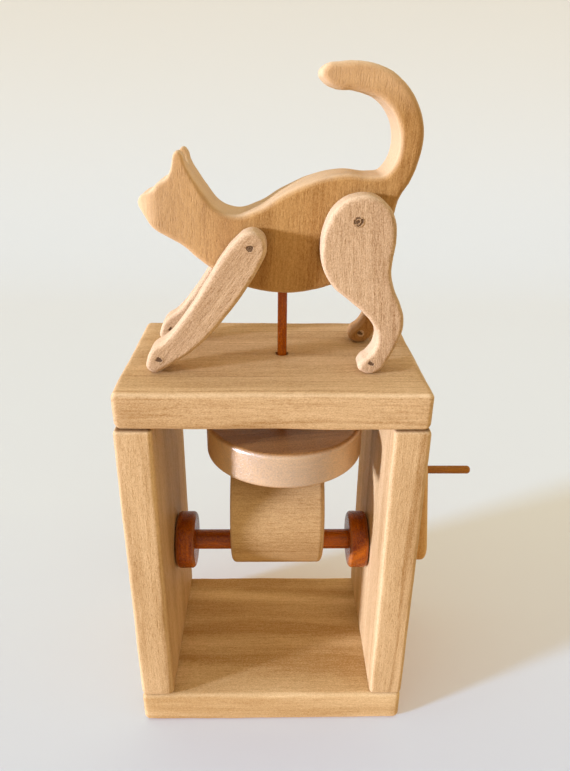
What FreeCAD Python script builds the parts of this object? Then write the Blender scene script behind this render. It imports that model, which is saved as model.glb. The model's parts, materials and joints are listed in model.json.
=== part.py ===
"""Hand-cranked wooden automaton: a jointed cat rides up and down on a box with an open front.

Turning the crank turns an eccentric drum under a flat disc.  The disc lifts a thin rod, and the
rod carries the cat, whose legs hang on wooden pins and stand on the top board.

Millimetres.  X runs to the crank side, Y away from the open front, Z up.
The origin is the middle of the base board's underside.
"""
import FreeCAD
import Part
import math
import os
from FreeCAD import Vector

# ---- box ----
BOX_WIDTH = 103.0            # over the outsides of the two walls
BOX_DEPTH = 68.5
BASE_THICKNESS = 14.0
WALL_THICKNESS = 12.6
WALL_HEIGHT = 119.5
TOP_THICKNESS = 13.2
TOP_INSET = 0.5              # the top board stops this far inside each wall's outside
BOARD_ROUND = 2.0            # sanded edges of the base and the top board
WALL_ROUND = 1.6

# ---- hidden dowels that join the boards ----
JOINT_DOWEL_RADIUS = 3.0
JOINT_DOWEL_IN_WALL = 12.0
JOINT_DOWEL_IN_BOARD = 8.0
JOINT_DOWEL_FROM_EDGE = 15.0

# ---- crankshaft ----
AXLE_RADIUS = 3.95
AXLE_ABOVE_FLOOR = 50.1
COLLAR_RADIUS = 11.4
COLLAR_WIDTH = 7.6
COLLAR_ROUND = 1.6
DRUM_RADIUS = 25.5
DRUM_WIDTH = 35.2
DRUM_ROUND = 2.0
DRUM_OFFSET = 18.2           # from the axle to the drum's own middle
DRUM_BACK_ANGLE = 14.0       # degrees that the drum's high side leans back from straight up
DRUM_X = 1.8
ARM_THICKNESS = 9.5
ARM_HALF_WIDTH = 8.5
ARM_THROW = 28.8             # from the axle to the handle
ARM_BACK_ANGLE = 22.0
ARM_ROUND = 1.8
HANDLE_RADIUS = 1.65
HANDLE_REACH = 19.0          # beyond the arm's outside

# ---- follower ----
DISC_RADIUS = 29.2
DISC_THICKNESS = 13.4
DISC_ROUND = 1.6
DISC_OFF_CENTRE = 1.2        # the disc's middle is this far from its rod hole
ROD_RADIUS = 1.65
ROD_X = 3.2
ROD_IN_DISC = 9.0
ROD_IN_CAT = 12.0
GUIDE_HOLE_RADIUS = 2.4

# ---- cat: a board cut to outline, with four legs on two pins ----
CAT_THICKNESS = 19.0
CAT_ROUND = 2.0
EAR_ROUND = 0.9              # edges run out finer at the narrow ears
LEG_THICKNESS = 9.5
LEG_ROUND = 1.7
PIN_RADIUS = 1.7
PAW_PIN_RADIUS = 1.3

# ---- clearances ----
GLUE_GAP = 0.05              # round a glued dowel
WALL_BORE_GAP = 0.2          # round the axle in the walls
PIN_BORE_GAP = 0.15          # round the leg pins in the cat
COLLAR_GAP = 0.35            # collar to wall
ARM_GAP = 1.6                # crank arm to wall
CAM_GAP = 0.15               # drum to disc when the drum's high side is straight up
LEG_GAP = 0.3                # leg to cat
PAW_GAP = 0.3                # paw to top board

# ---- the cat's outline, from the rod's mouth in the belly: x to the tail, z up ----
EAR_TIP = (-32.4, 43.15)
EAR_TIP_RADIUS = 1.3
NAPE_AND_BACK = [(-29.9, 40.0), (-27.5, 36.0), (-24.3, 31.5), (-21.0, 27.6), (-15.4, 25.5),
                 (-8.7, 27.2), (-0.2, 32.1), (8.8, 36.1), (18.3, 38.1), (27.8, 37.6), (30.9, 38.05)]
TAIL_HOLLOW_CENTRE = (20.4, 47.2)
TAIL_HOLLOW_RADIUS = 14.3
TAIL_TIP = [(15.7, 61.7), (12.0, 63.5), (10.3, 66.2), (12.1, 68.5)]
TAIL_BACK_CENTRE = (20.3, 47.7)
TAIL_BACK_RADIUS = 22.0
RUMP_AND_BELLY = [(36.1, 30.6), (34.8, 25.1), (32.8, 17.1), (26.8, 8.6), (15.6, 2.8), (0.3, 0.0),
                  (-14.2, 2.8)]
CHEST_AND_FACE = [(-27.1, 10.9), (-33.2, 16.1), (-36.8, 18.1), (-41.0, 20.7), (-44.2, 25.1),
                  (-46.2, 28.9), (-45.2, 30.7), (-41.6, 32.6), (-39.5, 34.7), (-36.5, 36.5),
                  (-35.2, 38.3), (-34.4, 40.8)]
HIP = (22.3, 25.7)
SHOULDER = (-10.5, 17.3)
SNOUT_LENGTH = 7.5           # the muzzle is rounded in plan over this length
SNOUT_HALF_WIDTH = 5.0       # half width left at the tip of the nose
EAR_SCOOP_RADIUS = 4.6       # round groove that parts the two ears
EAR_SCOOP_DEPTH = 4.4

# ---- legs, each from its own pin, as they stand ----
HIND_LEG = [(0.9, 7.7), (5.5, 7.1), (9.1, 4.6), (11.5, 0.2), (12.2, -5.0), (11.7, -11.2),
            (11.5, -16.0), (12.7, -21.0), (15.1, -26.0), (16.6, -30.8), (16.5, -35.2),
            (14.8, -40.6), (12.5, -45.6), (10.6, -48.6), (8.0, -50.1), (4.8, -49.9), (2.7, -48.2),
            (3.4, -45.9), (6.1, -43.4), (7.9, -40.0), (8.1, -36.4), (6.5, -33.0), (3.0, -29.0),
            (-2.0, -24.7), (-7.2, -20.2), (-10.0, -15.4), (-11.0, -9.0), (-10.2, -3.0),
            (-7.4, 3.0), (-3.6, 6.4)]
HIND_LEG_REACH = 50.1        # from the hip pin down to the sole
HIND_PAW_PIN = (7.1, -46.3)
FRONT_LEG = [(0.8, 5.2), (4.2, 3.4), (5.2, -0.2), (3.4, -5.4), (-1.1, -12.9), (-6.6, -20.6),
             (-12.6, -27.7), (-18.8, -33.7), (-25.0, -38.0), (-29.4, -40.6)]
FRONT_LEG_TOP_EDGE = [(-33.4, -34.4), (-27.3, -29.3), (-20.2, -20.4), (-13.5, -10.2), (-9.0, -3.0),
                      (-4.6, 2.2), (-1.6, 4.6)]
FRONT_PAW = (-32.0, -38.7)   # middle of the round paw
FRONT_PAW_RADIUS = 2.9
FRONT_PAW_PIN = (-30.2, -36.8)

# ---- places that follow from the sizes above ----
WALL_FACE = BOX_WIDTH / 2 - WALL_THICKNESS
FLOOR = BASE_THICKNESS
WALL_TOP = FLOOR + WALL_HEIGHT
PLATFORM = WALL_TOP + TOP_THICKNESS
AXLE_Z = FLOOR + AXLE_ABOVE_FLOOR
DISC_BOTTOM = AXLE_Z + DRUM_OFFSET + DRUM_RADIUS + CAM_GAP
DISC_TOP = DISC_BOTTOM + DISC_THICKNESS
HIP_Z = PLATFORM + PAW_GAP + HIND_LEG_REACH
BELLY = HIP_Z - HIP[1]
ARM_INSIDE = BOX_WIDTH / 2 + ARM_GAP
ARM_OUTSIDE = ARM_INSIDE + ARM_THICKNESS
LEG_INSIDE = CAT_THICKNESS / 2 + LEG_GAP
LEG_OUTSIDE = LEG_INSIDE + LEG_THICKNESS


# ---- helpers ----
def box(x0, x1, y0, y1, z0, z1):
    return Part.makeBox(x1 - x0, y1 - y0, z1 - z0, Vector(x0, y0, z0))


def rod_along(axis, radius, start, length):
    """Round bar from the point start along axis."""
    return Part.makeCylinder(radius, length, start, axis)


def rounded(shape, radius):
    """The shape with every edge rounded over."""
    return shape.makeFillet(radius, shape.Edges)


def round_rims(shape, radius):
    """The shape with its circular edges rounded over."""
    rims = [edge for edge in shape.Edges if edge.isClosed() and hasattr(edge.Curve, "Radius")]
    return shape.makeFillet(radius, rims)


def polar(centre, radius, degrees):
    angle = math.radians(degrees)
    return (centre[0] + radius * math.cos(angle), centre[1] + radius * math.sin(angle))


def round_stretch(centre, radius, first, last, steps):
    """Points at equal steps along an arc, from the angle first to the angle last."""
    return [polar(centre, radius, first + (last - first) * i / steps) for i in range(steps + 1)]


def tangent_at(before, point, after):
    """Direction at point of the circle through the three points."""
    come = point - before
    leave = after - point
    return (come * (leave.Length / come.Length) + leave * (come.Length / leave.Length)).normalize()


def arc_leaving(start, direction, end):
    """Arc from start, leaving it along direction, to end."""
    chord = end - start
    along = chord.dot(direction) / chord.Length
    aside = direction - chord * (direction.dot(chord) / chord.Length ** 2)
    if aside.Length < 1e-6:
        return Part.makeLine(start, end)
    bulge = chord.Length / 2 * math.tan(math.acos(max(-1.0, min(1.0, along))) / 2)
    return Part.Arc(start, (start + end) * 0.5 + aside.normalize() * bulge, end).toShape()


def smooth_outline(points):
    """Closed wire of tangent arcs in the XZ plane, two between each pair of points."""
    places = [Vector(x, 0, z) for x, z in points]
    count = len(places)
    tangents = [tangent_at(places[i - 1], places[i], places[(i + 1) % count]) for i in range(count)]
    edges = []
    for i in range(count):
        a, b = places[i], places[(i + 1) % count]
        ta, tb = tangents[i], tangents[(i + 1) % count]
        chord = b - a
        both = ta + tb
        spread = 2 * (1 - ta.dot(tb))
        if spread < 1e-9:
            reach = chord.dot(chord) / (4 * chord.dot(tb))
        else:
            reach = (math.sqrt(chord.dot(both) ** 2 + spread * chord.dot(chord)) - chord.dot(both)) / spread
        middle = (a + ta * reach + b - tb * reach) * 0.5
        edges.append(arc_leaving(a, ta, middle))
        edges.append(arc_leaving(b, tb * -1, middle))
    return Part.Wire(Part.__sortEdges__(edges))


def cut_from_board(points, thickness):
    """Board with the given outline, its middle plane on Y = 0."""
    solid = Part.Face(smooth_outline(points)).extrude(Vector(0, thickness, 0))
    solid.translate(Vector(0, -thickness / 2, 0))
    return solid


def face_edges(board, thickness):
    """Numbers and edges of a board's two outlines."""
    return [(number, edge) for number, edge in enumerate(board.Edges, 1)
            if abs(abs(edge.CenterOfMass.y) - thickness / 2) < 1e-6]


def soften(board, thickness, radius_at):
    """Round both outlines over, with a radius that depends on the place."""
    document = FreeCAD.newDocument()
    blank = document.addObject("Part::Feature", "Blank")
    blank.Shape = board
    fillet = document.addObject("Part::Fillet", "Soft")
    fillet.Base = blank
    fillet.Edges = [(number, radius_at(edge.valueAt(edge.FirstParameter)),
                     radius_at(edge.valueAt(edge.LastParameter)))
                    for number, edge in face_edges(board, thickness)]
    document.recompute()
    shape = fillet.Shape.copy()
    FreeCAD.closeDocument(document.Name)
    return shape.Solids[0]


# ---- box ----
def joint_dowel_places():
    """Middles of the four dowels between the walls and a board, as x, y."""
    x = WALL_FACE + WALL_THICKNESS / 2
    y = BOX_DEPTH / 2 - JOINT_DOWEL_FROM_EDGE
    return [(side * x, end * y) for side in (-1, 1) for end in (-1, 1)]


def joint_dowels(joint_z, up_into_board, gap=0.0):
    """Four upright dowels across the joint plane joint_z."""
    below = JOINT_DOWEL_IN_WALL if up_into_board else JOINT_DOWEL_IN_BOARD
    length = JOINT_DOWEL_IN_WALL + JOINT_DOWEL_IN_BOARD
    return [rod_along(Vector(0, 0, 1), JOINT_DOWEL_RADIUS + gap,
                      Vector(x, y, joint_z - below - gap), length + 2 * gap)
            for x, y in joint_dowel_places()]


def base_board():
    board = rounded(box(-BOX_WIDTH / 2, BOX_WIDTH / 2, -BOX_DEPTH / 2, BOX_DEPTH / 2, 0, FLOOR),
                    BOARD_ROUND)
    return board.cut(joint_dowels(FLOOR, False, GLUE_GAP))


def wall(side):
    low, high = sorted((side * WALL_FACE, side * BOX_WIDTH / 2))
    board = rounded(box(low, high, -BOX_DEPTH / 2, BOX_DEPTH / 2, FLOOR, WALL_TOP), WALL_ROUND)
    holes = joint_dowels(FLOOR, False, GLUE_GAP) + joint_dowels(WALL_TOP, True, GLUE_GAP)
    holes.append(rod_along(Vector(1, 0, 0), AXLE_RADIUS + WALL_BORE_GAP,
                           Vector(low - 1, 0, AXLE_Z), WALL_THICKNESS + 2))
    return board.cut(holes)


def top_board():
    half = BOX_WIDTH / 2 - TOP_INSET
    board = rounded(box(-half, half, -BOX_DEPTH / 2, BOX_DEPTH / 2, WALL_TOP, PLATFORM), BOARD_ROUND)
    guide = rod_along(Vector(0, 0, 1), GUIDE_HOLE_RADIUS, Vector(ROD_X, 0, WALL_TOP - 1),
                      TOP_THICKNESS + 2)
    return board.cut(joint_dowels(WALL_TOP, True, GLUE_GAP) + [guide])


# ---- crankshaft ----
def turned(axis, radius, start, length, edge_round):
    return round_rims(rod_along(axis, radius, start, length), edge_round)


def axle_bore(x0, x1):
    return rod_along(Vector(1, 0, 0), AXLE_RADIUS + GLUE_GAP, Vector(x0 - 1, 0, AXLE_Z), x1 - x0 + 2)


def axle():
    return rod_along(Vector(1, 0, 0), AXLE_RADIUS, Vector(-BOX_WIDTH / 2, 0, AXLE_Z),
                     BOX_WIDTH / 2 + ARM_OUTSIDE)


def collar(side):
    outside = WALL_FACE - COLLAR_GAP
    low = min(side * outside, side * (outside - COLLAR_WIDTH))
    body = turned(Vector(1, 0, 0), COLLAR_RADIUS, Vector(low, 0, AXLE_Z), COLLAR_WIDTH, COLLAR_ROUND)
    return body.cut(axle_bore(low, low + COLLAR_WIDTH))


def drum_cam():
    angle = math.radians(DRUM_BACK_ANGLE)
    start = DRUM_X - DRUM_WIDTH / 2
    centre = Vector(start, DRUM_OFFSET * math.sin(angle), AXLE_Z + DRUM_OFFSET * math.cos(angle))
    body = turned(Vector(1, 0, 0), DRUM_RADIUS, centre, DRUM_WIDTH, DRUM_ROUND)
    return body.cut(axle_bore(start, start + DRUM_WIDTH))


def handle_centre():
    angle = math.radians(ARM_BACK_ANGLE)
    return Vector(ARM_INSIDE, ARM_THROW * math.sin(angle), AXLE_Z + ARM_THROW * math.cos(angle))


def crank_arm():
    hub = Vector(ARM_INSIDE, 0, AXLE_Z)
    tip = handle_centre()
    along = (tip - hub).normalize()
    across = Vector(1, 0, 0).cross(along) * ARM_HALF_WIDTH
    outline = Part.Wire([
        Part.makeLine(hub + across, tip + across),
        Part.Arc(tip + across, tip + along * ARM_HALF_WIDTH, tip - across).toShape(),
        Part.makeLine(tip - across, hub - across),
        Part.Arc(hub - across, hub - along * ARM_HALF_WIDTH, hub + across).toShape()])
    body = Part.Face(outline).extrude(Vector(ARM_THICKNESS, 0, 0))
    rims = [edge for edge in body.Edges
            if min(abs(edge.CenterOfMass.x - x) for x in (ARM_INSIDE, ARM_OUTSIDE)) < 1e-6]
    body = body.makeFillet(ARM_ROUND, rims)
    handle_bore = rod_along(Vector(1, 0, 0), HANDLE_RADIUS + GLUE_GAP, tip - Vector(1, 0, 0),
                            ARM_THICKNESS + 2)
    return body.cut([axle_bore(ARM_INSIDE, ARM_OUTSIDE), handle_bore])


def crank_handle():
    body = rod_along(Vector(1, 0, 0), HANDLE_RADIUS, handle_centre(), ARM_THICKNESS + HANDLE_REACH)
    end = [edge for edge in body.Edges if edge.CenterOfMass.x > ARM_OUTSIDE + HANDLE_REACH / 2
           and edge.isClosed() and edge.BoundBox.XLength < 1e-6]
    return body.makeFillet(HANDLE_RADIUS * 0.8, end)


# ---- follower ----
def push_rod_shape(gap=0.0):
    bottom = DISC_TOP - ROD_IN_DISC - gap
    top = BELLY + ROD_IN_CAT + gap
    return rod_along(Vector(0, 0, 1), ROD_RADIUS + gap, Vector(ROD_X, 0, bottom), top - bottom)


def follower_disc():
    body = turned(Vector(0, 0, 1), DISC_RADIUS, Vector(ROD_X + DISC_OFF_CENTRE, 0, DISC_BOTTOM),
                  DISC_THICKNESS, DISC_ROUND)
    return body.cut(push_rod_shape(GLUE_GAP))


def cat_outline():
    points = round_stretch(EAR_TIP, EAR_TIP_RADIUS, 160, 20, 3)
    points += NAPE_AND_BACK
    points += round_stretch(TAIL_HOLLOW_CENTRE, TAIL_HOLLOW_RADIUS, -30, 90, 3)
    points += TAIL_TIP
    points += round_stretch(TAIL_BACK_CENTRE, TAIL_BACK_RADIUS, 102, -28, 3)
    points += RUMP_AND_BELLY + CHEST_AND_FACE
    return points


def cat_edge_radius(place):
    """Full rounding on the body, finer near the ears."""
    away = math.hypot(place.x - EAR_TIP[0], place.z - EAR_TIP[1])
    return max(EAR_ROUND, min(CAT_ROUND, EAR_ROUND + (away - 5.0) * 0.12))


def snout_shavings():
    """What is sanded off both faces to round the muzzle in plan."""
    tip = min(x for x, z in CHEST_AND_FACE)
    half = CAT_THICKNESS / 2
    foot = min(z for x, z in CHEST_AND_FACE) - 5
    height = EAR_TIP[1] - foot
    pieces = []
    for side in (-1, 1):
        start = Vector(tip - 1, side * (SNOUT_HALF_WIDTH - 1), foot)
        bulge = Vector(tip + SNOUT_LENGTH * 0.35, side * (half - 1.4), foot)
        end = Vector(tip + SNOUT_LENGTH, side * half, foot)
        corner = Vector(tip - 1, side * half, foot)
        beyond = Vector(0, side * 1.0, 0)
        outline = Part.Wire([Part.Arc(start, bulge, end).toShape(), Part.makeLine(end, end + beyond),
                             Part.makeLine(end + beyond, corner + beyond),
                             Part.makeLine(corner + beyond, start)])
        pieces.append(Part.Face(outline).extrude(Vector(0, 0, height)))
    return pieces


def ear_scoop():
    """Round groove along the top of the head."""
    top = EAR_TIP[1] + EAR_TIP_RADIUS
    return rod_along(Vector(1, 0, 0), EAR_SCOOP_RADIUS,
                     Vector(EAR_TIP[0] - 8, 0, top - EAR_SCOOP_DEPTH + EAR_SCOOP_RADIUS), 20)


def cat_body():
    body = soften(cut_from_board(cat_outline(), CAT_THICKNESS), CAT_THICKNESS, cat_edge_radius)
    body = body.cut(snout_shavings() + [ear_scoop()])
    body.translate(Vector(ROD_X, 0, BELLY))
    pins = [leg_pin_shape(HIP, PIN_BORE_GAP), leg_pin_shape(SHOULDER, PIN_BORE_GAP)]
    return body.cut(pins + [push_rod_shape(GLUE_GAP)])


# ---- legs ----
def pin_place(pin):
    return Vector(ROD_X + pin[0], 0, BELLY + pin[1])


def leg_pin_shape(pin, gap=0.0):
    start = pin_place(pin) - Vector(0, LEG_OUTSIDE, 0)
    return rod_along(Vector(0, 1, 0), PIN_RADIUS + gap, start, 2 * LEG_OUTSIDE)


def front_leg_turn():
    """Degrees to turn the front leg about its pin so that the paw stands on the top board."""
    height = BELLY + SHOULDER[1] - PLATFORM - PAW_GAP - FRONT_PAW_RADIUS
    reach = math.hypot(*FRONT_PAW)
    drawn = math.acos(-FRONT_PAW[1] / reach)
    return math.degrees(math.acos(min(1.0, height / reach)) - drawn)


def front_leg_outline():
    paw = round_stretch(FRONT_PAW, FRONT_PAW_RADIUS, 278, 150, 3)
    return FRONT_LEG + paw + FRONT_LEG_TOP_EDGE


def place_on_leg(shape, pin, side, turn):
    """Move a shape drawn round its own pin to the leg on one side of the cat."""
    shape.rotate(Vector(0, 0, 0), Vector(0, 1, 0), turn)
    shape.translate(pin_place(pin) + Vector(0, side * (LEG_INSIDE + LEG_THICKNESS / 2), 0))
    return shape


def paw_pin_shape(paw, pin, side, turn, gap=0.0):
    start = Vector(paw[0], -LEG_THICKNESS / 2, paw[1])
    drawn = rod_along(Vector(0, 1, 0), PAW_PIN_RADIUS + gap, start, LEG_THICKNESS)
    return place_on_leg(drawn, pin, side, turn)


def leg(outline, pin, paw, side, turn):
    body = soften(cut_from_board(outline, LEG_THICKNESS), LEG_THICKNESS, lambda place: LEG_ROUND)
    body = place_on_leg(body, pin, side, turn)
    return body.cut([leg_pin_shape(pin, GLUE_GAP), paw_pin_shape(paw, pin, side, turn, GLUE_GAP)])


def paw_pins(pin, paw, turn):
    return Part.makeCompound([paw_pin_shape(paw, pin, side, turn) for side in (-1, 1)])


def build():
    turn = front_leg_turn()
    front = front_leg_outline()
    return {
        "base_board": base_board(),
        "left_wall": wall(-1),
        "right_wall": wall(1),
        "top_board": top_board(),
        "base_joint_dowels": Part.makeCompound(joint_dowels(FLOOR, False)),
        "top_joint_dowels": Part.makeCompound(joint_dowels(WALL_TOP, True)),
        "axle": axle(),
        "left_collar": collar(-1),
        "right_collar": collar(1),
        "drum_cam": drum_cam(),
        "crank_arm": crank_arm(),
        "crank_handle": crank_handle(),
        "follower_disc": follower_disc(),
        "push_rod": push_rod_shape(),
        "cat_body": cat_body(),
        "shoulder_pin": leg_pin_shape(SHOULDER),
        "near_front_leg": leg(front, SHOULDER, FRONT_PAW_PIN, -1, turn),
        "far_front_leg": leg(front, SHOULDER, FRONT_PAW_PIN, 1, turn),
        "front_paw_pins": paw_pins(SHOULDER, FRONT_PAW_PIN, turn),
        "hip_pin": leg_pin_shape(HIP),
        "near_hind_leg": leg(HIND_LEG, HIP, HIND_PAW_PIN, -1, 0.0),
        "far_hind_leg": leg(HIND_LEG, HIP, HIND_PAW_PIN, 1, 0.0),
        "hind_paw_pins": paw_pins(HIP, HIND_PAW_PIN, 0.0),
    }


def main():
    os.makedirs("parts", exist_ok=True)
    for name, shape in build().items():
        shape.exportStep("parts/" + name + ".step")
        print(name, len(shape.Solids), shape.isValid(), round(shape.Volume, 1))


main()
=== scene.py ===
"""Looks of the hand-cranked wooden cat automaton: pale hand-sanded boards, dark turned crankshaft.

Metres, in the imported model's frame: X to the crank side, Y away from the open front, Z up.
Textures work in millimetres, so sizes in the materials read as on the real wood.
"""
import math

import bmesh
import bpy
from mathutils import Matrix, Vector, noise as field
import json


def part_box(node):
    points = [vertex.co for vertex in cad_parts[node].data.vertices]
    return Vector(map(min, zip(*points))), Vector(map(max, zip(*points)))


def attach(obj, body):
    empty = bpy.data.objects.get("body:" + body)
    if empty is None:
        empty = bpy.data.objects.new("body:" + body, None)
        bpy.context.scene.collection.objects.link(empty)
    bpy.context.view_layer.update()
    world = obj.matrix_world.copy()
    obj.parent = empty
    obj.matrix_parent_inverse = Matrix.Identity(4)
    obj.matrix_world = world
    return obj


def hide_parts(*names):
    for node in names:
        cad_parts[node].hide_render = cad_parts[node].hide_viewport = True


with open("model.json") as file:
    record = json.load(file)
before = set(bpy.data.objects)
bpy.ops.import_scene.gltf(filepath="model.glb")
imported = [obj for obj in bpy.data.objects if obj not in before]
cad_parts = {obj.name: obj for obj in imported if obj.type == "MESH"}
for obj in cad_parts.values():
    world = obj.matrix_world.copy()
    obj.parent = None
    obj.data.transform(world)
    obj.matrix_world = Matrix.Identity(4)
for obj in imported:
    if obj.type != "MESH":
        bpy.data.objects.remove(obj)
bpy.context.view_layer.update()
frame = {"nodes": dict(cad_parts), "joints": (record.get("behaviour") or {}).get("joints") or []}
nodes = frame["nodes"]
joint_at = {joint["name"]: Vector(joint["pos_m"]) for joint in frame["joints"] if "pos_m" in joint}
MM = 0.001
PER_METRE = (1000, 1000, 1000)

# ---- camera ----
CAMERA_PLACE = Vector((-0.938, -215.216, 233.761)) * MM
CAMERA_DOWN = math.radians(24.877)
CAMERA_YAW = math.radians(1.437)
CAMERA_ROLL = math.radians(0.737)
CAMERA_LENS = 30.13
CAMERA_SENSOR = 36.0
CAMERA_NEAR = 0.01

# ---- light ----
KEY_SIDE = math.radians(22.5)      # the window stands this far forward of the left side
KEY_HEIGHT = math.radians(8.7)
KEY_SPREAD = math.radians(6.5)     # how wide the window looks from the toy, which softens its shadows
KEY_STRENGTH = 1.43                # 1 lights a facing white surface to full white
KEY_COLOUR = (0.95, 1.03, 1.32)
ROOM_LEVEL = (0.57, 0.42, 0.22, 1)         # light of the room at eye level
ROOM_ABOVE = (1.08, 1.0, 0.82, 1)          # and from the ceiling
ROOM_SHOWN = (0.77, 0.75, 0.71, 1)         # the room beyond the paper, as seen

# ---- paper sweep, in metres ----
PAPER_FLOOR = (0.40, 0.66, 0.84, 1)        # the level part, as seen
PAPER_BACK = (0.60, 0.60, 0.52, 1)         # the upright part, which faces the window more
PAPER_BOUNCE = (0.66, 0.48, 0.22, 1)       # the paper, as the wood sees it
PAPER_GLOW = (0.25, 0.05, 0.02, 1)         # added to the level part as seen, in front of the toy
PAPER_GLOW_BEHIND = (0.35, 0.15, 0.06, 1)  # and behind it, brighter: painted light
GLOW_CHANGES = 0.12                        # the one turns into the other this far either side of Y = 0
PAPER_ROUGH = 0.95
PAPER_GLOSS = 0.05
PAPER_HALF_WIDTH = 4.0
PAPER_FRONT = -2.5
PAPER_BEND_START = 0.5
PAPER_BEND = 0.6
PAPER_TOP = 2.4
PAPER_BEND_STEPS = 24


# ---- node helpers ----
def srgb(red, green, blue):
    """Linear colour of an 8-bit screen colour."""
    def lin(value):
        value /= 255
        return value / 12.92 if value <= 0.04045 else ((value + 0.055) / 1.055) ** 2.4
    return (lin(red), lin(green), lin(blue), 1.0)


def put(tree, kind, sockets=None, **settings):
    """Add a node, with its settings, and its sockets given as values or as links."""
    node = tree.nodes.new(kind)
    for key, value in settings.items():
        setattr(node, key, value)
    for key, value in (sockets or {}).items():
        if isinstance(value, bpy.types.NodeSocket):
            tree.links.new(value, node.inputs[key])
        else:
            node.inputs[key].default_value = value
    return node


def calc(tree, operation, first, second=0.0, third=None):
    sockets = {0: first, 1: second}
    if third is not None:
        sockets[2] = third
    return put(tree, "ShaderNodeMath", sockets, operation=operation).outputs[0]


def vector(tree, operation, first, second=(0, 0, 0)):
    node = put(tree, "ShaderNodeVectorMath", {0: first, 1: second}, operation=operation)
    return node.outputs["Value" if operation in ("LENGTH", "DOT_PRODUCT") else 0]


def part_of(tree, value, axis):
    """One of a vector's three parts."""
    return put(tree, "ShaderNodeSeparateXYZ", {0: value}).outputs[axis]


def span(tree, value, low, high, to_low=0.0, to_high=1.0):
    """Value mapped from one range to another, held at its ends."""
    return put(tree, "ShaderNodeMapRange", {0: value, 1: low, 2: high, 3: to_low, 4: to_high}).outputs[0]


def mixed(tree, share, first, second):
    return put(tree, "ShaderNodeMix", {0: share, 6: first, 7: second}, data_type="RGBA").outputs[2]


def tinted(tree, colour, where, strength, other):
    """Colour that goes toward another one, by no more than strength, as where goes from 0 to 1."""
    return mixed(tree, calc(tree, "MULTIPLY", where, strength), colour, other)


def noise(tree, place, along, across, detail=2.0, rough=0.5):
    """Noise stretched along the grain, in features per millimetre along and across it."""
    scaled = vector(tree, "MULTIPLY", place, (along, across, across))
    return put(tree, "ShaderNodeTexNoise", {"Vector": scaled, "Scale": 1.0, "Detail": detail,
                                            "Roughness": rough})


def surface_direction(tree):
    """The surface's own direction in the piece, as a unit vector."""
    return vector(tree, "NORMALIZE", put(tree, "ShaderNodeTexCoord").outputs["Normal"])


def facing_along(tree, axis):
    """1 where the surface faces along an axis, either way, and 0 where it is parallel to it."""
    return calc(tree, "ABSOLUTE", vector(tree, "DOT_PRODUCT", surface_direction(tree), axis))


# ---- wood ----
# noise: features per millimetre along and across the grain, then detail and roughness
BENDING = (0.009, 0.025, 1.0)        # how the growth lines bend along the board
WANDERING = (0.004, 0.11, 1.0)       # how they crowd and spread
BREAKING = (0.06, 0.5, 2.0)          # where they fade
FIBRES = (0.07, 1.25, 4.0, 0.65)
FLECKS = (0.40, 2.7, 2.0, 0.55)
SPECKLE = (1.8, 2.9, 2.0, 0.6)       # fine speckle of sanded wood
BANDS_ALONG = 0.008
# which part of the noise goes from 0 to 1
BAND_RANGE, FIBRE_RANGE, FLECK_RANGE, SPECK_RANGE = (0.38, 0.62), (0.30, 0.70), (0.50, 0.70), (0.34, 0.66)
BREAK_RANGE, BREAK_TO = (0.3, 0.7), (0.45, 1.15)
LINE_STRENGTHS = (0.15, 1.2)         # from one growth line to another
BENT_BY = (0, 7.0, 7.0)              # millimetres
YEARS_WANDER = 3.0
# darkness across one year's growth: pale early wood, then a thin dark late line
YEAR = ((0.0, 0.35), (0.10, 0.06), (0.70, 0.14), (0.92, 1.0), (1.0, 0.35))
FIBRE_SHARE, FIBRE_LEVEL = 0.36, 0.04
FLECK_SHARE = 0.38
# bump: how deep each of these lies, as shares of the bump's depth
FLECK_DEPTH, FIBRE_DEPTH, SPECK_DEPTH, MARK_DEPTH = -0.7, -0.4, -0.35, -2.5
BUMP_STRENGTH, BUMP_DEPTH = 0.8, 0.08 * MM
ROUGH_BELOW, ROUGH_ABOVE = 0.04, 0.12     # roughness round its middle, low between flecks
# how far the surface faces along an axis where each of these begins and is full
BOARD_EDGE, CUT_EDGE, LIT_SIDE_RANGE = (0.97, 0.78), (0.22, 0.66), (0.80, 0.35)
# pale rounded edges: partly sanding wear, partly a painted highlight where the light catches them
WORN_AND_HIGHLIGHT_COLOUR, WORN_AND_HIGHLIGHT_SHARE = srgb(247, 226, 192), 0.65
# paler wood on the cat's head and tail tip; on the base board it paints light on the front face
SAPWOOD_AND_LIT_COLOUR = srgb(238, 206, 164)
# paler side faces of cut-out pieces: painted light
LIT_SIDE_COLOUR = srgb(240, 220, 188)
# thin dark line where the walls meet the boards: painted shade in the gap, with some dirt
SEAM_SHADE_COLOUR, SEAM_SHADE_STRENGTH = srgb(92, 58, 24), 0.75
SEAM_OUTER, SEAM_INNER = 0.7 * MM, 0.15 * MM
# dark rings and spots at dowel ends: painted shade in the gap round a dowel and in a small hole at its end,
# with a little glue
MARK_SHADE_COLOUR, MARK_STRENGTH = srgb(66, 40, 20), 0.86
MARK_RAGGED = (0.75, 0.75, 2.0)      # noise that tears a mark's outline
MARK_TORN_BY = 3.0                   # millimetres
MARK_EDGE = (1.75, 1.35)             # how far out of a spot its outline ends and begins
MARK_RING_RANGE = (0.40, 0.58)       # the noise where the ring fades and where it is full
MARK_RING_WIDTHS = (0.02, 0.48)      # and its widths there, in millimetres
MARK_NOISE_APART = 9000              # how far apart in the noise two marks a metre apart are


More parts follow.
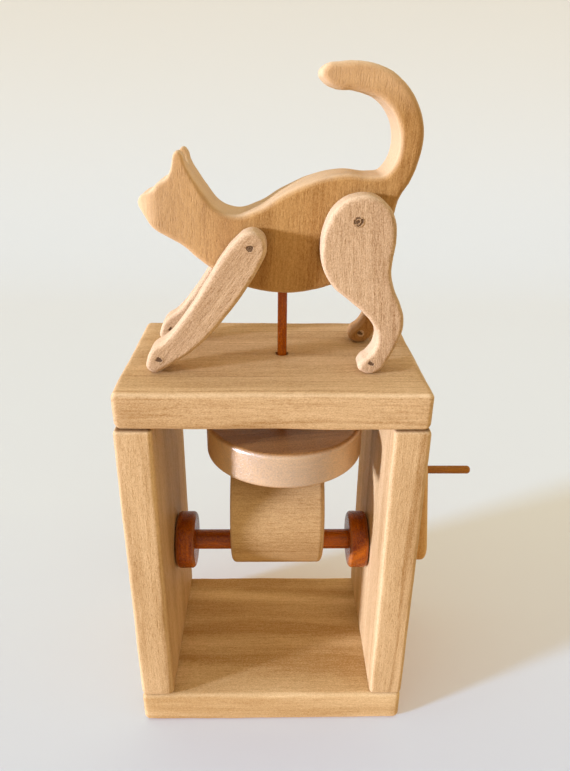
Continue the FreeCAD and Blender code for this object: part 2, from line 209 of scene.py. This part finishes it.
def rounded_share(tree, flat):
    """0 on flat faces and 1 half way round a sanded edge, from the surface's own direction.

    flat is the axis that a turned or cut-out piece is flat along, or None for a board.
    """
    if flat is None:
        parts = put(tree, "ShaderNodeSeparateXYZ", {0: vector(tree, "ABSOLUTE", surface_direction(tree))})
        most = calc(tree, "MAXIMUM", calc(tree, "MAXIMUM", parts.outputs[0], parts.outputs[1]),
                    parts.outputs[2])
        return span(tree, most, *BOARD_EDGE)
    along = facing_along(tree, flat)
    across = calc(tree, "SQRT", calc(tree, "SUBTRACT", 1.0, calc(tree, "MULTIPLY", along, along)))
    return span(tree, calc(tree, "MINIMUM", along, across), *CUT_EDGE)


def growth_lines(tree, place, ring):
    """Darkness of the growth lines, ring millimetres apart, and the distance from the pith.

    The lines are wide circles round a far pith, bent a little along the board.
    """
    wave = vector(tree, "SUBTRACT", noise(tree, place, *BENDING).outputs["Color"], (0.5, 0.5, 0.5))
    bent = vector(tree, "ADD", place, vector(tree, "MULTIPLY", wave, BENT_BY))
    from_pith = vector(tree, "LENGTH", vector(tree, "MULTIPLY", bent, (0, 1, 1)))
    uneven = noise(tree, place, *WANDERING).outputs[0]
    years = calc(tree, "MULTIPLY_ADD", uneven, YEARS_WANDER, calc(tree, "DIVIDE", from_pith, ring))
    late = put(tree, "ShaderNodeFloatCurve", {"Value": calc(tree, "FRACT", years)})
    curve = late.mapping.curves[0]
    curve.points[0].location = YEAR[0]
    curve.points[1].location = YEAR[-1]
    for x, y in YEAR[1:-1]:
        curve.points.new(x, y)
    late.mapping.update()
    strength = put(tree, "ShaderNodeTexWhiteNoise", {"W": calc(tree, "FLOOR", years)},
                   noise_dimensions="1D").outputs["Value"]
    strength = span(tree, calc(tree, "MULTIPLY", strength, strength), 0.0, 1.0, *LINE_STRENGTHS)
    broken = span(tree, noise(tree, place, *BREAKING).outputs[0], *BREAK_RANGE, *BREAK_TO)
    return calc(tree, "MULTIPLY", calc(tree, "MULTIPLY", late.outputs[0], strength), broken), from_pith


def dowel_shade_mark(tree, here, colour, height, mark):
    """Dark broken ring and ragged dark spot at a dowel end, drawn through the piece along Y: painted shade
    in the gap round the dowel and in a small hole at its end, with a little glue.

    mark is x and z in metres, then the radii of ring and spot in millimetres. A ring of 0 is left out.
    """
    x, z, radius, spot = mark
    off = vector(tree, "MULTIPLY", vector(tree, "SUBTRACT", here, (x, 0, z)), (1000, 0, 1000))
    ragged = noise(tree, vector(tree, "ADD", off, (x * MARK_NOISE_APART, 0, 3)), *MARK_RAGGED).outputs[0]
    away = vector(tree, "LENGTH", off)
    torn = calc(tree, "MULTIPLY_ADD", ragged, MARK_TORN_BY, away)
    share = span(tree, torn, *(spot + extra for extra in MARK_EDGE))
    if radius:
        width = span(tree, ragged, *MARK_RING_RANGE, *MARK_RING_WIDTHS)
        ring = calc(tree, "DIVIDE", calc(tree, "ABSOLUTE", calc(tree, "SUBTRACT", away, radius)), width)
        share = calc(tree, "MAXIMUM", span(tree, ring, 1.0, 0.5), share)
    colour = tinted(tree, colour, share, MARK_STRENGTH, MARK_SHADE_COLOUR)
    return colour, calc(tree, "MULTIPLY_ADD", share, MARK_DEPTH, height)


def wood(name, light, dark, direction=(1, 0, 0), shift=(0, 0, 0), ring=2.6, lines=0.4, flecks=0.5,
         bands=0.3, band_size=7.0, speckle=0.46, edge=0.22, flat=None, sides=0.0, sheen_rough=0.58,
         gloss=0.12, ior=1.5, marks=(), seams=(), sapwood_and_lit_face=()):
    """Solid wood: growth lines, fibres, flecks and broad bands, with paler sanded edges, partly wear and
    partly a painted highlight.

    The grain runs along direction, and shift moves the pith, in millimetres. lines, flecks, bands and
    speckle say how dark each of these is, edge how pale the sanded edges are, partly wear and partly a
    painted highlight, and sides how much painted light pales the surfaces that lie along flat. seams are
    levels in metres where a thin dark line of painted shade, with some dirt, shows between pieces, and
    sapwood_and_lit_face is a list of axis, start and end in millimetres, and strength, for paler wood,
    and for a face paled by painted light.
    """
    material = bpy.data.materials.new(name)
    material.use_nodes = True
    tree = material.node_tree
    tree.nodes.clear()
    here = put(tree, "ShaderNodeTexCoord").outputs["Object"]
    turn = Vector(direction).rotation_difference(Vector((1, 0, 0))).to_euler()
    place = put(tree, "ShaderNodeMapping", {"Vector": here, "Location": shift, "Rotation": turn,
                                            "Scale": PER_METRE}).outputs[0]
    line, from_pith = growth_lines(tree, place, ring)
    year = put(tree, "ShaderNodeCombineXYZ", {0: part_of(tree, place, 0), 1: from_pith}).outputs[0]
    band = span(tree, noise(tree, year, BANDS_ALONG, 1 / band_size, 1.0).outputs[0], *BAND_RANGE)
    fibre = span(tree, noise(tree, place, *FIBRES).outputs[0], *FIBRE_RANGE)
    fleck = span(tree, noise(tree, place, *FLECKS).outputs[0], *FLECK_RANGE)
    speck = span(tree, noise(tree, place, *SPECKLE).outputs[0], *SPECK_RANGE)
    tone = calc(tree, "MULTIPLY", line, lines)
    tone = calc(tree, "MULTIPLY_ADD", band, bands, tone)
    tone = calc(tree, "MULTIPLY_ADD", fibre, FIBRE_SHARE, calc(tree, "SUBTRACT", tone, FIBRE_LEVEL))
    tone = calc(tree, "MULTIPLY_ADD", fleck, flecks * FLECK_SHARE, tone)
    tone = calc(tree, "MULTIPLY_ADD", speck, speckle, calc(tree, "SUBTRACT", tone, speckle / 3))
    colour = mixed(tree, span(tree, tone, 0.0, 1.0), light, dark)
    # paler zones: real paler wood on the cat, painted light on the base board's front face
    for axis, start, end, strength in sapwood_and_lit_face:
        along = part_of(tree, vector(tree, "MULTIPLY", here, PER_METRE), axis)
        colour = tinted(tree, colour, span(tree, along, start, end), strength, SAPWOOD_AND_LIT_COLOUR)
    # paler rounded edges: partly wear, partly a painted highlight
    if edge:
        worn_and_highlight = [(1 - WORN_AND_HIGHLIGHT_SHARE) * channel + WORN_AND_HIGHLIGHT_SHARE * bright
                for channel, bright in zip(light, WORN_AND_HIGHLIGHT_COLOUR)]
        colour = tinted(tree, colour, rounded_share(tree, flat), edge, worn_and_highlight)
    # paler side faces: painted light where the window falls on the sides of a cut-out
    if sides:
        lit_side = span(tree, facing_along(tree, flat), *LIT_SIDE_RANGE)
        colour = tinted(tree, colour, lit_side, sides, LIT_SIDE_COLOUR)
    height = calc(tree, "MULTIPLY_ADD", fleck, FLECK_DEPTH, calc(tree, "MULTIPLY", fibre, FIBRE_DEPTH))
    height = calc(tree, "MULTIPLY_ADD", speck, SPECK_DEPTH, height)
    # painted shade, with some dirt, in the joints between pieces
    for level in seams:
        off = calc(tree, "ABSOLUTE", calc(tree, "SUBTRACT", part_of(tree, here, 2), level))
        colour = tinted(tree, colour, span(tree, off, SEAM_OUTER, SEAM_INNER), SEAM_SHADE_STRENGTH, SEAM_SHADE_COLOUR)
    for mark in marks:
        colour, height = dowel_shade_mark(tree, here, colour, height, mark)
    rough = span(tree, fleck, 0.0, 1.0, sheen_rough - ROUGH_BELOW, sheen_rough + ROUGH_ABOVE)
    bump = put(tree, "ShaderNodeBump", {"Strength": BUMP_STRENGTH, "Distance": BUMP_DEPTH, "Height": height})
    shader = put(tree, "ShaderNodeBsdfPrincipled", {"Base Color": colour, "Roughness": rough,
                                                    "Normal": bump.outputs[0]})
    shader.inputs["Specular IOR Level"].default_value = gloss
    shader.inputs["IOR"].default_value = ior
    put(tree, "ShaderNodeOutputMaterial", {"Surface": shader.outputs[0]})
    return material


# ---- pieces ----
def in_scene(name, data):
    """New object in the scene."""
    thing = bpy.data.objects.new(name, data)
    bpy.context.scene.collection.objects.link(thing)
    return thing


def as_mesh(shape, name):
    """Mesh of a bmesh, which is freed."""
    mesh = bpy.data.meshes.new(name)
    shape.to_mesh(mesh)
    shape.free()
    return mesh


def clothe(mesh, material):
    """Give a mesh one material all over, and smooth shading."""
    mesh.materials.clear()
    mesh.materials.append(material)
    for face in mesh.polygons:
        face.material_index = 0
        face.use_smooth = True


def dress(name, material):
    """Give a carried-over piece its material."""
    clothe(nodes[name].data, material)


def add_piece(name, mesh, material, node, body):
    """Put a mesh in the scene in place of a node, riding on the node's body."""
    piece = in_scene(name, mesh)
    clothe(mesh, material)
    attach(piece, body)
    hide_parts(node)


def applied(piece):
    """Mesh of the piece with its modifiers applied."""
    bpy.context.view_layer.update()
    solid = piece.evaluated_get(bpy.context.evaluated_depsgraph_get())
    return bpy.data.meshes.new_from_object(solid)


def middle(node):
    return sum(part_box(node), Vector()) / 2


WELD = 1e-7
SHARP = math.radians(50)             # a board's bores keep their edges
# unevenness of a sanded cut-out: a wide wave and a small one, in millimetres, and their shares
WAVE, WAVE_SHARE = 9, 0.65
RIPPLE, RIPPLE_SHARE = 3.2, 0.35
SANDED_AWAY = 0.35                   # more is taken off than the waves add
SMOOTHING = 0.5
PLUG = 2.2 * MM                      # radius that fills a pin's bore
PLUG_SIDES = 48
SEED_STEP = (3.7, 1.3, 2.1)          # how far apart in the noise two seeds are


def hand_sanded(node, voxel, softer, uneven, seed, plugs=()):
    """Copy of a node with its edges softened and its faces slightly uneven, as sanding leaves them.

    voxel and uneven are in millimetres, and softer is how many times it is smoothed. plugs are (x, z)
    of bores that are filled, where a dowel sits in the wood.
    """
    shape = bmesh.new()
    shape.from_mesh(nodes[node].data)
    bmesh.ops.remove_doubles(shape, verts=shape.verts, dist=WELD)
    low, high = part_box(node)
    for x, z in plugs:
        place = Matrix.Translation((x, (low.y + high.y) / 2, z)) @ Matrix.Rotation(math.pi / 2, 4, "X")
        bmesh.ops.create_cone(shape, cap_ends=True, segments=PLUG_SIDES, radius1=PLUG, radius2=PLUG,
                              depth=high.y - low.y, matrix=place)
    blank = in_scene(node + "_blank", as_mesh(shape, node + "_blank"))
    remesh = blank.modifiers.new("remesh", "REMESH")
    remesh.mode = "VOXEL"
    remesh.voxel_size = voxel * MM
    smooth = blank.modifiers.new("smooth", "SMOOTH")
    smooth.factor = SMOOTHING
    smooth.iterations = softer
    result = applied(blank)
    bpy.data.objects.remove(blank)
    shape = bmesh.new()
    shape.from_mesh(result)
    shape.normal_update()
    offset = Vector([seed * step for step in SEED_STEP])
    for vertex in shape.verts:
        p = vertex.co * 1000
        amount = (WAVE_SHARE * field.noise(p / WAVE + offset)
                  + RIPPLE_SHARE * field.noise(p / RIPPLE + offset))
        vertex.co += vertex.normal * (amount - SANDED_AWAY) * uneven * MM
    shape.to_mesh(result)
    shape.free()
    return result


# cuts across a board's rounded edge, as shares of its radius, and their distance elsewhere
EDGE_CUTS = (0.0, 0.12, 0.3, 0.5, 0.72, 1.0)
BOARD_CUTS = 3.2                     # millimetres
# unevenness of a board: lengths in millimetres, and what they change
EDGE_WAVE, EDGE_WAVE_SHARE = 21, 0.32      # shares of the edge's radius
EDGE_RIPPLE, EDGE_RIPPLE_SHARE = 6, 0.12
FACE_WAVE, FACE_WAVE_DEPTH = 17, 0.05      # depth in millimetres
BOARD_SEED_STEP = (5.1, 2.3, 7.9)
AXES_APART = 9                       # how far apart in the noise the three axes are
CUTTER_LENGTH = 40.0
CUTTER_SIDES = 64


def cut_places(start, end, radius):
    """Cutting places along one side of a board: close together on its rounded ends."""
    inner = max(1, round((end - start - 2 * radius) / BOARD_CUTS))
    first = [start + radius * share for share in EDGE_CUTS]
    between = [start + radius + (end - start - 2 * radius) * i / inner for i in range(1, inner)]
    return first + between + [end - radius * share for share in reversed(EDGE_CUTS)]


def box_surface(low, high, radius):
    """Closed grid on the surface of a box, with its cuts close together near the edges."""
    grid = [cut_places(low[i], high[i], radius) for i in range(3)]
    last = [len(cuts) - 1 for cuts in grid]
    shape = bmesh.new()
    made = {}

    def corner(index):
        if index not in made:
            made[index] = shape.verts.new([grid[i][index[i]] for i in range(3)])
        return made[index]

    for axis in range(3):
        u, v = (axis + 1) % 3, (axis + 2) % 3
        for level in (0, last[axis]):
            for a in range(last[u]):
                for b in range(last[v]):
                    ring = [(a, b), (a + 1, b), (a + 1, b + 1), (a, b + 1)]
                    if level == 0:
                        ring.reverse()
                    spots = []
                    for p, q in ring:
                        index = [0, 0, 0]
                        index[axis], index[u], index[v] = level, p, q
                        spots.append(corner(tuple(index)))
                    shape.faces.new(spots)
    return shape


def cylinder(place, axis, radius, length):
    """Smooth round cutter through place along axis, in millimetres."""
    shape = bmesh.new()
    bmesh.ops.create_cone(shape, cap_ends=True, segments=CUTTER_SIDES, radius1=radius * MM,
                          radius2=radius * MM, depth=length * MM)
    mesh = as_mesh(shape, "cutter")
    mesh.transform(Vector((0, 0, 1)).rotation_difference(Vector(axis)).to_matrix().to_4x4())
    mesh.transform(Matrix.Translation(Vector(place) * MM))
    return in_scene("cutter", mesh)


def sanded_board(node, radius, seed, bores=()):
    """Board in a node's own box, its edges rounded over by hand, so not quite evenly.

    bores are place, axis and radius, in millimetres.
    """
    low, high = (corner * 1000 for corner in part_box(node))
    shape = box_surface(low, high, radius)
    offset = Vector([seed * step for step in BOARD_SEED_STEP])
    for vertex in shape.verts:
        p = vertex.co.copy()
        local = radius * (1.0 + EDGE_WAVE_SHARE * field.noise(p / EDGE_WAVE + offset)
                          + EDGE_RIPPLE_SHARE * field.noise(p / EDGE_RIPPLE + offset))
        core = Vector([min(max(p[i], low[i] + local), high[i] - local) for i in range(3)])
        out = p - core
        if out.length > 1e-6:
            p = core + out.normalized() * local
        p += Vector([field.noise(p / FACE_WAVE + offset + Vector((AXES_APART * i, 0, 0)))
                     for i in range(3)]) * FACE_WAVE_DEPTH
        vertex.co = Vector([min(max(p[i], low[i]), high[i]) for i in range(3)]) * MM
    board = in_scene(node + "_blank", as_mesh(shape, node + "_board"))
    cutters = [cylinder(place, axis, bore, CUTTER_LENGTH) for place, axis, bore in bores]
    for cutter in cutters:
        cut = board.modifiers.new("bore", "BOOLEAN")
        cut.operation = "DIFFERENCE"
        cut.solver = "EXACT"
        cut.object = cutter
    result = applied(board)
    for extra in cutters + [board]:
        bpy.data.objects.remove(extra)
    return result


# ---- where pins and bores are ----
hip = joint_at["hip_swing"]
shoulder = joint_at["shoulder_swing"]
front_paw = middle("front_paw_pins")
hind_paw = middle("hind_paw_pins")
axle_z = joint_at["crank_spin"].z * 1000
rod = middle("push_rod") * 1000
AXLE_BORE, ROD_BORE = 4.15, 2.4      # radii
WALL_X, TOP_Z = 45, 140              # within the walls and the top board


def pin_ends(pin, ring, spot):
    """Mark of painted shade at a pin's end: see dowel_shade_mark."""
    return [(pin.x, pin.z, ring, spot)]


# ---- woods ----
ALONG_X, ALONG_Y, ALONG_Z = (1, 0, 0), (0, 1, 0), (0, 0, 1)
TAN_LIGHT, TAN_DARK = srgb(219, 188, 144), srgb(163, 124, 76)
LEG_LIGHT, LEG_DARK = srgb(214, 184, 148), srgb(142, 104, 66)
RED_LIGHT, RED_DARK = srgb(206, 112, 12), srgb(108, 38, 2)
BOARD = dict(lines=0.30, flecks=0.6, bands=0.28)
LEG = dict(lines=0.2, flecks=0.6, bands=0.2, speckle=0.5, edge=0.2, flat=ALONG_Y)
STAINED = dict(lines=0.22, flecks=0.5, bands=0.5, band_size=4.5, edge=0.12, sheen_rough=0.28, gloss=0.25)
PAW_PIN_SHADE = 0.75                          # radius of the dark spot at a paw's pin: painted shade in a small hole

# levels where the walls meet the base and top board, darkened there with painted shade
seams = [level.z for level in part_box("left_wall")]
base_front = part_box("base_board")[0].y * 1000
top_wood = wood("wood_top", TAN_LIGHT, TAN_DARK, (1, 0.01, 0), (11, -160, -240), 2.9, **BOARD)
# the base board's front face is paler: painted light on the lit front, while the board's top lies in shade
base_wood = wood("wood_base", srgb(228, 198, 150), srgb(174, 134, 80), ALONG_X, (57, 120, 110), 5.5,
                 lines=0.2, flecks=0.3, bands=0.62, band_size=8.0, edge=0.1,
                 sapwood_and_lit_face=[(1, base_front + 2.5, base_front + 0.5, 0.1)])
left_wood = wood("wood_left_wall", TAN_LIGHT, TAN_DARK, (0, 0.01, 1), (90, 131, 184), 2.6,
                 seams=seams, **BOARD)
right_wood = wood("wood_right_wall", TAN_LIGHT, TAN_DARK, (0.02, 0, 1), (5, -152, 135), 3.6,
                  seams=seams, **dict(BOARD, lines=0.45))
drum_wood = wood("wood_drum", srgb(203, 170, 124), srgb(148, 110, 64), ALONG_X, (31, 112, -132), 2.2,
                 flat=ALONG_X, **BOARD)
# the disc's dark saturated colour paints shade on its top face under the top board, and sides paints light
# on its paler rim
disc_wood = wood("wood_disc", srgb(202, 150, 88), srgb(136, 88, 40), (1, 0.2, 0), (3, 130, -180), 2.4,
                 lines=0.3, flecks=0.5, speckle=0.8, flat=ALONG_Z, sides=0.32, sheen_rough=0.40,
                 gloss=1.0, ior=1.8)
arm_wood = wood("wood_arm", srgb(228, 188, 130), srgb(186, 136, 76), (0, 0.37, 0.93), (0, 120, 166), 2.6,
                flat=ALONG_X, **BOARD)
# sides paints light on the cat's side faces, making them paler
cat_wood = wood("wood_cat", srgb(190, 148, 92), srgb(140, 96, 46), (0.04, 0, 1), (60, 140, 109), 3.1,
                lines=0.3, flecks=0.65, bands=0.3, edge=0.2, flat=ALONG_Y, sides=0.42,
                sapwood_and_lit_face=[(0, -5, -38, 0.34), (2, 226, 236, 0.3)])
leg_wood = {}
# the far hind leg's darker colours and weaker pale sides are painted shade, where the near front leg shades
# it; sides paints light on the legs' side faces
for side, shift, light, dark, sides in (("near", 0, LEG_LIGHT, LEG_DARK, 0.3),
                                        ("far", 37, srgb(180, 134, 80), srgb(130, 86, 40), 0.12)):
    leg_wood[side + "_front_leg"] = wood(
        "wood_" + side + "_front_leg", LEG_LIGHT, LEG_DARK, (0.62, 0, 0.78), (shift, 122, 118), 3.2,
        sides=0.3, marks=pin_ends(front_paw, 0, PAW_PIN_SHADE), **LEG)
    leg_wood[side + "_hind_leg"] = wood(
        "wood_" + side + "_hind_leg", light, dark, (-0.08, 0, 1), (shift, 131, 127), 3.2,
        sides=sides, marks=pin_ends(hind_paw, 0, PAW_PIN_SHADE), **LEG)

# ---- boards, cat and legs, sanded by hand ----
for node, material, radius, seed, bores in (
        ("base_board", base_wood, 2.0, 1, ()),
        ("left_wall", left_wood, 1.8, 2, [((-WALL_X, 0, axle_z), ALONG_X, AXLE_BORE)]),
        ("right_wall", right_wood, 1.8, 3, [((WALL_X, 0, axle_z), ALONG_X, AXLE_BORE)]),
        ("top_board", top_wood, 2.2, 4, [((rod.x, rod.y, TOP_Z), ALONG_Z, ROD_BORE)])):
    made = sanded_board(node, radius, seed, bores)
    add_piece("sanded_" + node, made, material, node, "box")
    made.set_sharp_from_angle(angle=SHARP)
add_piece("sanded_cat", hand_sanded("cat_body", voxel=0.45, softer=4, uneven=0.18, seed=5), cat_wood,
          "cat_body", "follower")
for number, (node, body, upper, lower) in enumerate((
        ("near_front_leg", "front_legs", shoulder, front_paw),
        ("far_front_leg", "front_legs", shoulder, front_paw),
        ("near_hind_leg", "hind_legs", hip, hind_paw),
        ("far_hind_leg", "hind_legs", hip, hind_paw))):
    made = hand_sanded(node, voxel=0.32, softer=5, uneven=0.2, seed=6 + number,
                       plugs=[(upper.x, upper.z), (lower.x, lower.z)])
    add_piece("sanded_" + node, made, leg_wood[node], node, body)

# ---- carried-over pieces ----
dress("drum_cam", drum_wood)
dress("follower_disc", disc_wood)
dress("crank_arm", arm_wood)
# dark rings and spots at the pin ends: painted shade of the gaps round the pins, with a little glue
for name, pin, ring, spot in (("hip_pin", hip, 1.15, 0.55), ("shoulder_pin", shoulder, 0.8, 0.5)):
    dress(name, wood("wood_" + name, LEG_LIGHT, LEG_DARK, ALONG_Y, (3, 4, 5), 0.9, lines=0.5, edge=0,
                     marks=pin_ends(pin, ring, spot)))
dress("front_paw_pins", leg_wood["near_front_leg"])
dress("hind_paw_pins", leg_wood["near_hind_leg"])
for name in ("base_joint_dowels", "top_joint_dowels"):
    dress(name, wood("wood_" + name, TAN_LIGHT, TAN_DARK, ALONG_Z, (3, 4, 5), 2.0, edge=0))
for name, direction, shift, flat in (
        ("axle", ALONG_X, (8, 93, -151), ALONG_X),
        ("left_collar", (0, 0.3, 1), (4, 144, 112), ALONG_X),
        ("right_collar", (0, 1, 0.4), (9, 113, 151), ALONG_X),
        ("push_rod", ALONG_Z, (2, 108, 106), ALONG_Z)):
    dress(name, wood("wood_" + name, RED_LIGHT, RED_DARK, direction, shift, 2.2, flat=flat, **STAINED))
dress("crank_handle", wood("wood_handle", srgb(188, 124, 22), srgb(126, 72, 6), ALONG_X, (14, 106, -188),
                           2.2, flat=ALONG_X, **STAINED))


# ---- floor, backdrop and light ----
def seen_directly(tree):
    """1 for what the camera sees, also in gloss and through glass, and 0 for light on the wood."""
    ray = put(tree, "ShaderNodeLightPath").outputs
    return calc(tree, "MAXIMUM", calc(tree, "MAXIMUM", ray["Is Camera Ray"], ray["Is Glossy Ray"]),
                ray["Is Transmission Ray"])


def paper():
    """Pale paper, whose colour as seen differs from the warm light that it gives back to the wood."""
    material = bpy.data.materials.new("paper")
    material.use_nodes = True
    tree = material.node_tree
    shader = tree.nodes["Principled BSDF"]
    facing = put(tree, "ShaderNodeNewGeometry").outputs["Normal"]
    upright = calc(tree, "ABSOLUTE", vector(tree, "DOT_PRODUCT", facing, ALONG_Y))
    direct = seen_directly(tree)
    shown = mixed(tree, upright, PAPER_FLOOR, PAPER_BACK)
    tree.links.new(mixed(tree, direct, PAPER_BOUNCE, shown), shader.inputs["Base Color"])
    where = put(tree, "ShaderNodeTexCoord").outputs["Object"]
    # the glow is brighter behind the toy than in front: painted light on the floor
    behind = span(tree, part_of(tree, where, 1), -GLOW_CHANGES, GLOW_CHANGES)
    glow = mixed(tree, behind, PAPER_GLOW, PAPER_GLOW_BEHIND)
    tree.links.new(mixed(tree, upright, glow, (0, 0, 0, 1)), shader.inputs["Emission Color"])
    tree.links.new(direct, shader.inputs["Emission Strength"])
    shader.inputs["Roughness"].default_value = PAPER_ROUGH
    shader.inputs["Specular IOR Level"].default_value = PAPER_GLOSS
    return material


def sweep():
    """Floor that curves up into a backdrop, one sheet."""
    profile = [(PAPER_FRONT, 0.0)]
    for i in range(PAPER_BEND_STEPS + 1):
        turn = math.pi / 2 * i / PAPER_BEND_STEPS
        profile.append((PAPER_BEND_START + PAPER_BEND * math.sin(turn), PAPER_BEND * (1 - math.cos(turn))))
    profile.append((PAPER_BEND_START + PAPER_BEND, PAPER_TOP))
    corners = [(x, y, z) for y, z in profile for x in (-PAPER_HALF_WIDTH, PAPER_HALF_WIDTH)]
    faces = [(2 * i, 2 * i + 1, 2 * i + 3, 2 * i + 2) for i in range(len(profile) - 1)]
    mesh = bpy.data.meshes.new("studio_sweep")
    mesh.from_pydata(corners, [], faces)
    clothe(mesh, paper())
    in_scene("studio_sweep", mesh)


def window():
    """Soft low light from the left, a little in front."""
    toward = Vector((-math.cos(KEY_SIDE) * math.cos(KEY_HEIGHT), -math.sin(KEY_SIDE) * math.cos(KEY_HEIGHT),
                     math.sin(KEY_HEIGHT)))
    data = bpy.data.lights.new("window", "SUN")
    data.angle = KEY_SPREAD
    data.energy = KEY_STRENGTH * math.pi
    data.color = KEY_COLOUR
    in_scene("window", data).rotation_euler = (-toward).to_track_quat("-Z", "Y").to_euler()


def room():
    """Warm dim light all round, brighter from above, and a plain pale room where it is seen."""
    world = bpy.data.worlds.new("soft_room")
    bpy.context.scene.world = world
    world.use_nodes = True
    tree = world.node_tree
    upward = put(tree, "ShaderNodeTexCoord").outputs["Generated"]
    height = vector(tree, "DOT_PRODUCT", upward, ALONG_Z)
    light = mixed(tree, span(tree, height, 0.0, 1.0), ROOM_LEVEL, ROOM_ABOVE)
    tree.links.new(mixed(tree, seen_directly(tree), light, ROOM_SHOWN),
                   tree.nodes["Background"].inputs["Color"])


def camera():
    forward = Vector((math.sin(CAMERA_YAW) * math.cos(CAMERA_DOWN),
                      math.cos(CAMERA_YAW) * math.cos(CAMERA_DOWN), -math.sin(CAMERA_DOWN)))
    level = Vector((math.cos(CAMERA_YAW), -math.sin(CAMERA_YAW), 0))
    upright = level.cross(forward)
    right = level * math.cos(CAMERA_ROLL) + upright * math.sin(CAMERA_ROLL)
    up = upright * math.cos(CAMERA_ROLL) - level * math.sin(CAMERA_ROLL)
    data = bpy.data.cameras.new("camera")
    data.lens = CAMERA_LENS
    data.sensor_width = CAMERA_SENSOR
    data.clip_start = CAMERA_NEAR
    eye = in_scene("camera", data)
    eye.matrix_world = Matrix((right, up, -forward)).transposed().to_4x4()
    eye.location = CAMERA_PLACE
    bpy.context.scene.camera = eye


sweep()
window()
room()
bpy.context.scene.view_settings.view_transform = "Standard"
camera()
